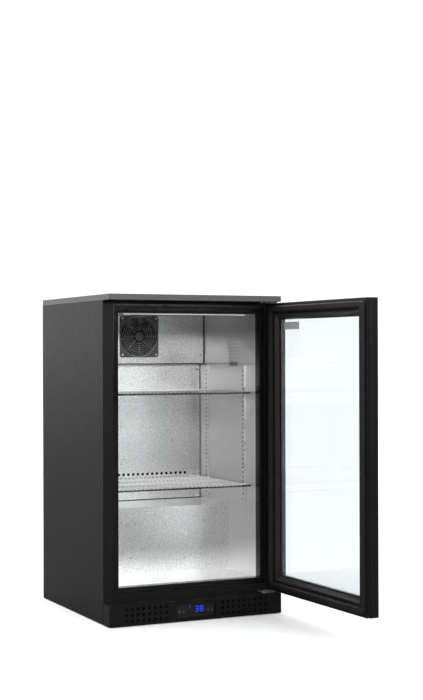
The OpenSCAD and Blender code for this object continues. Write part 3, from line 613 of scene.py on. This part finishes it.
def gasket():
    """Magnetic seal: a base, two bellows folds and a flat magnet pocket, round the door."""
    half = [
        (8.0, BAR_DEEP), (8.0, 33.4), (9.7, 34.6), (8.5, 36.1), (9.8, 37.6), (9.2, 38.6),
        (9.6, 40.9), (10.6, 41.5)
    ]
    middle = 16.0
    outline = half + [(2 * middle - u, v) for u, v in reversed(half)]
    section = filleted([(u * MM, v * MM) for u, v in outline], 0.5 * MM, 3)
    rects = door_ring_rects([(p.x, p.y) for p in section], door_lo, door_hi)
    corner = 10.5 * MM
    rings = swept_frame(rects, corner)
    mesh = Mesh().loft(rings, closed=True, caps=False).moved(TO_OPEN)
    mesh.build("door_gasket_bellows", "seal", "door", SLOT_OF_NODE["door_gasket"],
               ["door_gasket"], 40)


gasket()


def glazing_bead():
    """Sloping bead with fine ribs along it, and a soft lip against the glass."""
    ribs = 5
    rib_height = 0.45
    glass_face = 21
    inner = GLASS_LINE / MM
    top, foot = Vector((33.0, 31.3)), Vector((inner - 0.4, 23.6))
    outline = [(BAR_WIDE, glass_face), (inner, glass_face), (inner, 23.2)]
    across = (top - foot) / ribs
    out = Vector((across.y, -across.x)).normalized() * -rib_height
    for i in range(ribs):
        start = foot + across * i
        outline.append(tuple(start))
        outline.append(tuple(start + across * 0.5 + out))
    outline += [tuple(top), (BAR_WIDE, BAR_DEEP)]
    section = filleted([(u * MM, v * MM) for u, v in outline], 0.35 * MM, 3)
    rects = door_ring_rects([(p.x, p.y) for p in section], door_lo, door_hi)
    mesh = Mesh().loft(swept_frame(rects), closed=True, caps=False).moved(TO_OPEN)
    mesh.build("glazing_bead_ribbed", "bead", "door", SLOT_OF_NODE["glazing_bead"],
               ["glazing_bead"], 40)


glazing_bead()


# ---------------------------------------------------------------- shelves

def wire_shelf(node):
    """Plated wire shelf: thick rim and cross rods, with thin wires laid across their tops."""
    lo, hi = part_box(node)
    rim = 2.2 * MM          # radius of the rim and the cross rods
    thin = 1.25 * MM        # radius of the wires
    sink = 0.4 * MM         # how far the wires are welded into the rods
    rest = hi.z - 8.6 * MM  # where the rim lies on its clips
    rim_z = rest + rim
    wire_z = rim_z + rim + thin - sink
    x = hi.x - rim
    y0 = lo.y + rim
    y1 = hi.y - rim
    frame_rods = Mesh()
    frame_rods.tube(bent_path([(x, y0, rim_z), (x, y1, rim_z), (-x, y1, rim_z), (-x, y0, rim_z)],
                              9 * MM, closed=True), rim, 16, closed=True)
    for y in (-65 * MM, 55 * MM):
        frame_rods.tube([(-x, y, rim_z), (x, y, rim_z)], rim, 12)
    frame_rods.build(node + "_rim", "rim", node, SLOT_OF_NODE[node], [node], 50)

    wires = Mesh()
    pitch = 12.4 * MM
    count = int((hi.x - 8 * MM) / pitch)
    for i in range(-count, count + 1):
        wires.tube([(i * pitch, hi.y, wire_z), (i * pitch, lo.y + 0.6 * MM, wire_z)], thin, 10)
    wires.build(node + "_wires", "wire", node, SLOT_OF_NODE[node], [node], 50)


wire_shelf("upper_shelf")
wire_shelf("lower_shelf")


# ---------------------------------------------------------------- fan guard

def fan_guard():
    lo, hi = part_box("fan_guard")
    cx, cz = (lo.x + hi.x) / 2, (lo.z + hi.z) / 2
    back = hi.y
    half = (hi.x - lo.x) / 2
    outer = half - 2.5 * MM  # radius of the opening
    hub = 14 * MM
    count = 96               # points round a circle

    def circle(radius, y):
        return [(cx + radius * math.cos(2 * math.pi * i / count), y,
                 cz + radius * math.sin(2 * math.pi * i / count)) for i in range(count)]

    def square(inset, y):
        """Rounded square with as many points as the circle, each on the same ray."""
        points = []
        size = half - inset
        corner = 6 * MM
        for x, _, z in circle(1.0, 0):
            dx, dz = x - cx, z - cz
            scale = size / max(abs(dx), abs(dz))
            px, pz = dx * scale, dz * scale
            ox, oz = abs(px) - (size - corner), abs(pz) - (size - corner)
            if ox > 0 and oz > 0:
                shrink = corner / math.hypot(ox, oz)
                px = math.copysign(size - corner + ox * min(1, shrink), px)
                pz = math.copysign(size - corner + oz * min(1, shrink), pz)
            points.append((cx + px, y, cz + pz))
        return points

    front = back - 2.2 * MM
    edge = 0.5 * MM
    mesh = Mesh()
    mesh.loft([square(0, back), square(0, front + edge), square(edge, front),
               circle(outer + edge, front), circle(outer, front + edge), circle(outer, back)],
              closed=True, caps=False)
    mesh.loft([circle(hub, back), circle(hub, back - 2.6 * MM),
               circle(hub - 0.8 * MM, lo.y + 0.2 * MM), circle(hub * 0.55, lo.y),
               circle(hub * 0.1, lo.y)])

    grille = Mesh()
    rings = 6
    half_width = 1.3 * MM
    for i in range(1, rings + 1):
        radius = hub + i * (outer - hub) / (rings + 1)
        grille.loft([circle(radius - half_width, back), circle(radius - half_width, front),
                     circle(radius + half_width, front), circle(radius + half_width, back)],
                    closed=True, caps=False)
    spokes = 8
    spoke_y = back - 1.5 * MM
    for i in range(spokes):
        t = 2 * math.pi * i / spokes
        ends = [(cx + r * math.cos(t), spoke_y, cz + r * math.sin(t))
                for r in (hub - 1 * MM, outer + 1 * MM)]
        grille.tube(ends, 1.2 * MM, 8)

    slot = SLOT_OF_NODE["fan_guard"]
    # Rings and spokes in the lighter copy of the guard plastic: painted light.
    grille.build("fan_guard_grille", "grille", "cabinet", slot, (), 40)
    mesh.build("fan_guard_rings", "guard", "cabinet", slot, ["fan_guard"], 40)


fan_guard()


# ---------------------------------------------------------------- breaker frame

def breaker_frame():
    """Glossy moulded ring: a flat lip with a shallow groove, and a deep rounded reveal."""
    lo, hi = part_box("breaker_frame")
    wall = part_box("liner_left")[1].x
    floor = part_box("liner_floor")[0].z + 1 * MM
    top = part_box("lamp_housing")[0].z + 1 * MM
    side = wall * -1
    reach = {"side": hi.x - side, "bottom": floor - lo.z, "top": hi.z - top}
    thick = {"side": 2.5 * MM, "bottom": 2.5 * MM, "top": 5 * MM}
    depth = hi.y - lo.y
    lip = 14.0
    outline = [
        (0, depth / MM), (0, 0), (6.2, 0), (6.8, 0.7), (7.4, 0), (lip, 0), (lip, 3), (2.5, 3),
        (2.5, depth / MM)
    ]
    section = filleted(outline, [0.3, 2.2, 0.2, 0.2, 0.2, 1.0, 0.3, 0.4, 0.3], 4)

    def spread(w, where):
        near = 2.5
        if w <= near:
            return w / near * thick[where]
        return thick[where] + (w - near) / (lip - near) * (reach[where] - thick[where])

    rects = []
    for p in section:
        s, b, t = (spread(max(p.x, 0), k) for k in ("side", "bottom", "top"))
        rects.append(((-side - s, side + s, floor - b, top + t), lo.y + p.y * MM))
    mesh = Mesh().loft(swept_frame(rects), closed=True, caps=False)
    mesh.build("breaker_frame_moulding", "gloss_black", "cabinet",
               SLOT_OF_NODE["breaker_frame"], ["breaker_frame"], 40)


breaker_frame()


# ---------------------------------------------------------------- light strip

def lamp_lens():
    """Milky cover with a round underside and fatter end caps."""
    lo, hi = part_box("lamp_lens")
    lo.z += 1.5 * MM
    lo.x += 9 * MM
    hi.x -= 9 * MM
    mesh = Mesh()

    def arch(x, inset, drop):
        y0, y1 = lo.y + inset, hi.y - inset
        mid, wide = (y0 + y1) / 2, (y1 - y0) / 2
        ring = [(x, y1, hi.z), (x, y0, hi.z)]
        steps = 10
        for i in range(steps + 1):
            t = math.pi * (1 + i / steps)
            z = hi.z - drop * 0.35 + drop * 0.65 * math.sin(t)
            ring.append((x, mid + wide * math.cos(t), z))
        return ring

    full = hi.z - lo.z
    cap = 16 * MM
    mesh.loft([arch(lo.x + cap - 1 * MM, 1 * MM, full - 1 * MM),
               arch(hi.x - cap + 1 * MM, 1 * MM, full - 1 * MM)])
    for x0, x1 in ((lo.x, lo.x + cap), (hi.x - cap, hi.x)):
        mesh.loft([arch(x0, 1 * MM, full - 1.2 * MM), arch(x0 + 1.5 * MM, 0, full),
                   arch(x1 - 1.5 * MM, 0, full), arch(x1, 1 * MM, full - 1.2 * MM)])
    mesh.build("lamp_lens_cover", "lens", "cabinet", SLOT_OF_NODE["lamp_lens"], ["lamp_lens"], 50)


lamp_lens()


# ---------------------------------------------------------------- seams, and dark pieces of painted shade

def edging(mesh, start, end, outward, wide, proud):
    """Adds a D-shaped strip from start to end on a face that looks along outward."""
    start, end, outward = Vector(start), Vector(end), Vector(outward)
    side = (end - start).normalized().cross(outward)
    steps = 6
    section = [side * (wide / 2 * math.cos(t)) + outward * (proud * math.sin(t))
               for t in (math.pi * i / steps for i in range(steps + 1))]
    section += [side * -wide / 2 - outward * 0.3 * MM, side * wide / 2 - outward * 0.3 * MM]
    mesh.loft([[start + p for p in section], [end + p for p in section]])


def liner_painted_shadow_strips():
    """Black strips of painted shade, for the shadow gaps round the evaporator cover and at the foot of the air
    duct.
    """
    cover_lo, cover_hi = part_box("evaporator_cover")
    duct_lo, duct_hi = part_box("air_duct_panel")
    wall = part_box("liner_right")[0].x
    front = (0, -1, 0)
    mesh = Mesh()
    y = cover_lo.y
    edging(mesh, (cover_lo.x, y, cover_lo.z - 0.4 * MM), (wall, y, cover_lo.z - 0.4 * MM),
           front, 2.6 * MM, 0.9 * MM)
    edging(mesh, (wall - 1.6 * MM, y, cover_lo.z), (wall - 1.6 * MM, y, cover_hi.z), front,
           3.0 * MM, 0.9 * MM)
    y = duct_lo.y
    edging(mesh, (duct_lo.x, y, duct_lo.z + 1.0 * MM), (duct_hi.x, y, duct_lo.z + 1.0 * MM),
           front, 2.8 * MM, 0.8 * MM)
    # These strips are painted shade: dark seal rubber laid where the gaps are in shadow.
    mesh.build("liner_painted_shadow_strips", "seal", "cabinet", SLOT_OF_NODE["door_gasket"], (), 40)

    lines = Mesh()
    edging(lines, (duct_hi.x - 0.3 * MM, y, duct_lo.z), (duct_hi.x - 0.3 * MM, y, duct_hi.z),
           front, 0.8 * MM, 0.2 * MM)
    breaker_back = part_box("breaker_frame")[1].y
    for side in (-1, 1):
        edging(lines, (side * wall, breaker_back, cover_lo.z),
               (side * wall, cover_lo.y, cover_lo.z), (-side, 0, 0), 1.5 * MM, 0.3 * MM)
    lines.build("liner_seams", "sealant", "cabinet", SLOT_OF_NODE["drip_tray"], (), 40)


liner_painted_shadow_strips()


def pilaster_painted_shade():
    """Dark strip of painted shade inside each pilaster, seen through its slots as the shadowed inside of the
    channel.
    """
    mesh = Mesh()
    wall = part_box("liner_right")[0].x
    verts = [v.co for v in NODES["shelf_pilasters"].data.vertices]
    middle = sum(v.y for v in verts) / len(verts)
    face = max(v.x for v in verts)
    deep = wall - min(v.x for v in verts if v.x > 0)
    for near in (True, False):
        ys = [v.y for v in verts if (v.y < middle) == near]
        y0, y1 = min(ys) + 1.4 * MM, max(ys) - 1.4 * MM
        z0, z1 = min(v.z for v in verts) + 2 * MM, max(v.z for v in verts) - 2 * MM
        for side in (-1, 1):
            xs = [side * (face - x) for x in (deep - 1.6 * MM, deep - 2.4 * MM)]
            outline = filleted([(y0, z0), (y1, z0), (y1, z1), (y0, z1)], 1 * MM, 2)
            mesh.loft([[(x, p.x, p.y) for p in outline] for x in xs])
    mesh.build("pilaster_painted_shade", "fan_black", "cabinet", SLOT_OF_NODE["fan_guard"], (), 40)


pilaster_painted_shade()


def duct_painted_shade():
    """Dark strip of painted shade close behind the row of holes at the foot of the air duct, so that the holes
    read as shadowed.
    """
    lo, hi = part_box("air_duct_panel")
    y = lo.y + 1.4 * MM
    hole_z = 354.5 * MM
    slab("duct_painted_shade", (lo.x + 10 * MM, y, hole_z - 8 * MM),
         (hi.x - 10 * MM, y + 0.6 * MM, hole_z + 8 * MM), 0.1 * MM, "fan_black", "cabinet",
         SLOT_OF_NODE["fan_guard"])


duct_painted_shade()


def plinth_painted_shade():
    """Dark sheets of painted shade behind the vent holes of the plinth, left and right of the controller, so that
    the holes read as shadowed.
    """
    lo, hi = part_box("plinth")
    middle_lo, middle_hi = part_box("controller_bezel")
    y = lo.y + 2.2 * MM
    for name, x0, x1 in (("vent_shade_left", lo.x + 14 * MM, middle_lo.x - 3 * MM),
                         ("vent_shade_right", middle_hi.x + 3 * MM, hi.x - 14 * MM)):
        slab(name, (x0, y, lo.z + 6 * MM), (x1, y + 0.8 * MM, hi.z - 6 * MM), 0.1 * MM,
             "fan_black", "cabinet", SLOT_OF_NODE["fan_guard"])


plinth_painted_shade()


# ---------------------------------------------------------------- labels and display

def rating_label():
    """Blank label on the right wall of the liner, a little above the upper shelf."""
    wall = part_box("liner_right")[0].x
    wide, thick, high = 90 * MM, 0.3 * MM, 76 * MM
    on_wall = (Matrix.Translation((wall - 0.05 * MM, -24 * MM, 667 * MM))
               @ Matrix.Rotation(math.radians(-90), 4, "Z"))
    slab("rating_label", (0, 0, 0), (wide, thick, high), 0.08 * MM, "label", "cabinet",
         SLOT_OF_NODE["lamp_housing"], on_wall)


rating_label()


def label_bars():
    """Row of plain dark bars at the foot of the rating label."""
    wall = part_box("liner_right")[0].x
    y0, z0, height = -34 * MM, 670 * MM, 11 * MM
    gap = 2.2 * MM
    mesh = Mesh()
    for width in [3.4, 1.6, 2.6, 4.2, 1.8, 3.0, 1.4, 3.8, 2.2, 2.8]:
        y1 = y0 - width * MM
        outline = [(y0, z0), (y1, z0), (y1, z0 + height), (y0, z0 + height)]
        mesh.loft([[(wall - x * MM, y, z) for y, z in outline] for x in (0.2, 0.42)])
        y0 = y1 - gap
    mesh.build("rating_label_bars", "guard", "cabinet", SLOT_OF_NODE["fan_guard"])


label_bars()


def door_sticker():
    """Blank sticker on the inner glass, near its upper corner on the hinge side."""
    _, hi = shut_box("inner_glass")
    x1 = door_hi.x - GLASS_LINE - 26 * MM
    z0, z1 = 769 * MM, 789 * MM
    slab("door_sticker", (x1 - 80 * MM, hi.y + 0.02 * MM, z0), (x1, hi.y + 0.22 * MM, z1),
         0.06 * MM, "sticker", "door", SLOT_OF_NODE["hinge_bushes"], TO_OPEN)


door_sticker()

SEGMENTS = {
    "0": "abcdef", "1": "bc", "2": "abged", "3": "abgcd", "4": "fgbc", "5": "afgcd",
    "6": "afgcde", "7": "abc", "8": "abcdefg", "9": "abcdfg"
}


def display():
    """Seven-segment reading and a small status light behind the dark window."""
    lo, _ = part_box("display_window")
    y = lo.y - 0.12 * MM
    height, width, bar = 13.5 * MM, 7.6 * MM, 1.7 * MM
    mesh = Mesh()

    def segment(x0, z0, x1, z1):
        along = Vector((x1 - x0, 0, z1 - z0)).normalized()
        side = Vector((-along.z, 0, along.x)) * bar / 2
        a, b = Vector((x0, y, z0)), Vector((x1, y, z1))
        tip = along * bar / 2
        outline = [a, a + tip + side, b - tip + side, b, b - tip - side, a + tip - side]
        mesh.loft([[p + Vector((0, 0.2 * MM, 0)) for p in outline], outline])

    def digit(character, x, z):
        corners = {
            "a": (0, 1, 1, 1), "b": (1, 1, 1, 0.5), "c": (1, 0.5, 1, 0), "d": (1, 0, 0, 0),
            "e": (0, 0, 0, 0.5), "f": (0, 0.5, 0, 1), "g": (0, 0.5, 1, 0.5)
        }
        for name in SEGMENTS[character]:
            x0, z0, x1, z1 = corners[name]
            segment(x + x0 * width, z + z0 * height, x + x1 * width, z + z1 * height)

    for i, character in enumerate("38"):
        digit(character, (-6 + i * 14) * MM, 25 * MM)
    light = (-21.6 * MM, 38 * MM)
    dot = [(light[0] + 1.3 * MM * math.cos(t), y, light[1] + 1.3 * MM * math.sin(t))
           for t in (2 * math.pi * i / 20 for i in range(20))]
    mesh.loft([[(x, y + 0.2 * MM, z) for x, y, z in dot], dot])
    mesh.build("display_digits", "digits", "cabinet", SLOT_OF_NODE["display_window"])


display()


# ---------------------------------------------------------------- stage, light, camera

def stage():
    """Pale floor. What it throws back on to the object is dim, or it would grey the blacks,
    and seen through the door's glass it is no brighter than the backdrop."""
    size = 14.0
    floor = bpy.data.meshes.new("floor")
    corners = [(-size, -size, 0), (size, -size, 0), (size, size, 0), (-size, size, 0)]
    floor.from_pydata(corners, [], [(0, 1, 2, 3)])
    obj = bpy.data.objects.new("floor", floor)
    bpy.context.scene.collection.objects.link(obj)
    s = Shader("studio_floor", (0.9, 0.9, 0.9), 0.9, Specular_IOR_Level=0.0)
    path = s.node("ShaderNodeLightPath")
    unseen = s.node("ShaderNodeMath", operation="SUBTRACT")
    unseen.inputs[0].default_value = 1.0
    s.link(path.outputs["Is Camera Ray"], unseen.inputs[1])
    bounce, through_glass = (0.22,) * 3, (0.63,) * 3
    through = s.blend_colours(path.outputs["Is Transmission Ray"], bounce, through_glass)
    mix = s.node("ShaderNodeMix", data_type="RGBA")
    mix.inputs["A"].default_value = (0.9, 0.9, 0.9, 1.0)
    s.link(through, mix.inputs["B"])
    s.link(unseen.outputs["Value"], mix.inputs["Factor"])
    s.link(mix.outputs["Result"], s.bsdf.inputs["Base Color"])
    obj.data.materials.append(s.material)


def studio():
    """White surround. What it lights the object with is bright behind and overhead, and dim
    in front, as a studio with a lit backdrop is."""
    world = bpy.data.worlds.new("studio")
    bpy.context.scene.world = world
    world.use_nodes = True
    tree = world.node_tree
    tree.nodes.clear()

    def node(kind, **settings):
        made = tree.nodes.new(kind)
        for key, value in settings.items():
            setattr(made, key, value)
        return made

    def ramp(source, low, high, from_low, from_high):
        made = node("ShaderNodeMapRange", interpolation_type="SMOOTHSTEP")
        made.inputs["From Min"].default_value = from_low
        made.inputs["From Max"].default_value = from_high
        made.inputs["To Min"].default_value = low
        made.inputs["To Max"].default_value = high
        tree.links.new(source, made.inputs["Value"])
        return made.outputs["Result"]

    def maths(operation, first, second):
        made = node("ShaderNodeMath", operation=operation)
        tree.links.new(first, made.inputs[0])
        tree.links.new(second, made.inputs[1])
        return made.outputs["Value"]

    direction = node("ShaderNodeSeparateXYZ")
    tree.links.new(node("ShaderNodeTexCoord").outputs["Generated"], direction.inputs["Vector"])
    backdrop = ramp(direction.outputs["Y"], 0.01, 1.1, -0.1, 0.7)
    overhead = ramp(direction.outputs["Z"], 0.0, 0.75, 0.1, 0.8)
    lit = maths("ADD", backdrop, overhead)
    path = node("ShaderNodeLightPath")
    seen = maths("MAXIMUM", path.outputs["Is Camera Ray"], path.outputs["Is Transmission Ray"])
    mix = node("ShaderNodeMix", data_type="FLOAT")
    tree.links.new(seen, mix.inputs["Factor"])
    tree.links.new(lit, mix.inputs["A"])
    mix.inputs["B"].default_value = 1.13
    background = node("ShaderNodeBackground")
    background.inputs["Color"].default_value = (1.0, 1.0, 1.0, 1.0)
    tree.links.new(mix.outputs["Result"], background.inputs["Strength"])
    output = node("ShaderNodeOutputWorld")
    tree.links.new(background.outputs["Background"], output.inputs["Surface"])


stage()
studio()


def area_light(name, place, target, size, power, colour=(1.0, 1.0, 1.0)):
    data = bpy.data.lights.new(name, "AREA")
    data.shape = "RECTANGLE"
    data.size, data.size_y = size
    data.energy = power
    data.color = colour
    obj = bpy.data.objects.new(name, data)
    bpy.context.scene.collection.objects.link(obj)
    obj.location = place
    obj.rotation_euler = (Vector(target) - Vector(place)).to_track_quat("-Z", "Y").to_euler()
    return obj


def sun_light(name, direction, strength, softness):
    data = bpy.data.lights.new(name, "SUN")
    data.energy = strength
    data.angle = math.radians(softness)
    obj = bpy.data.objects.new(name, data)
    bpy.context.scene.collection.objects.link(obj)
    obj.rotation_euler = Vector(direction).to_track_quat("-Z", "Y").to_euler()
    return obj


def lights():
    """A wide soft key in front, fill from the left, a rim light behind, and the cooler's own
    light strip."""
    lo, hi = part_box("lamp_lens")
    below_lens = (0, hi.y + 4 * MM, lo.z - 4 * MM)
    strip = area_light("interior_strip", below_lens, (0, 0.02, 0.1), (0.36, 0.012), 0.01,
                       (0.98, 0.99, 1.0))
    strip.data.spread = math.radians(125)
    sun_light("overhead", (0.05, -0.08, -1.0), 2.5, 130)
    area_light("front_key", (0.1, -3.9, 1.55), (0, 0, 0.5), (4.0, 0.45), 72.0)
    area_light("front_left", (-2.9, -2.6, 1.35), (0.2, 0, 0.4), (1.4, 0.5), 13.0)
    area_light("back_left", (-1.5, 2.9, 0.95), (-0.25, 0, 0.8), (1.6, 0.6), 2.2)


lights()


def camera():
    """Long lens, level, from the left of the front, as the cooler is seen."""
    yaw, pitch, roll = (math.radians(a) for a in (25.52, 0.11, -0.16))
    ahead = Vector((math.sin(yaw) * math.cos(pitch), math.cos(yaw) * math.cos(pitch),
                    math.sin(pitch)))
    right = Vector((math.cos(yaw), -math.sin(yaw), 0))
    up = right.cross(ahead)
    right, up = (right * math.cos(roll) + up * math.sin(roll),
                 up * math.cos(roll) - right * math.sin(roll))
    data = bpy.data.cameras.new("camera")
    data.sensor_width = 36.0
    data.lens = 74.7
    obj = bpy.data.objects.new("camera", data)
    bpy.context.scene.collection.objects.link(obj)
    turn = Matrix((right, up, -ahead)).transposed().to_4x4()
    obj.matrix_world = Matrix.Translation((-1.618, -3.735, 0.707)) @ turn
    bpy.context.scene.camera = obj


camera()
bpy.context.scene.view_settings.view_transform = "Standard"
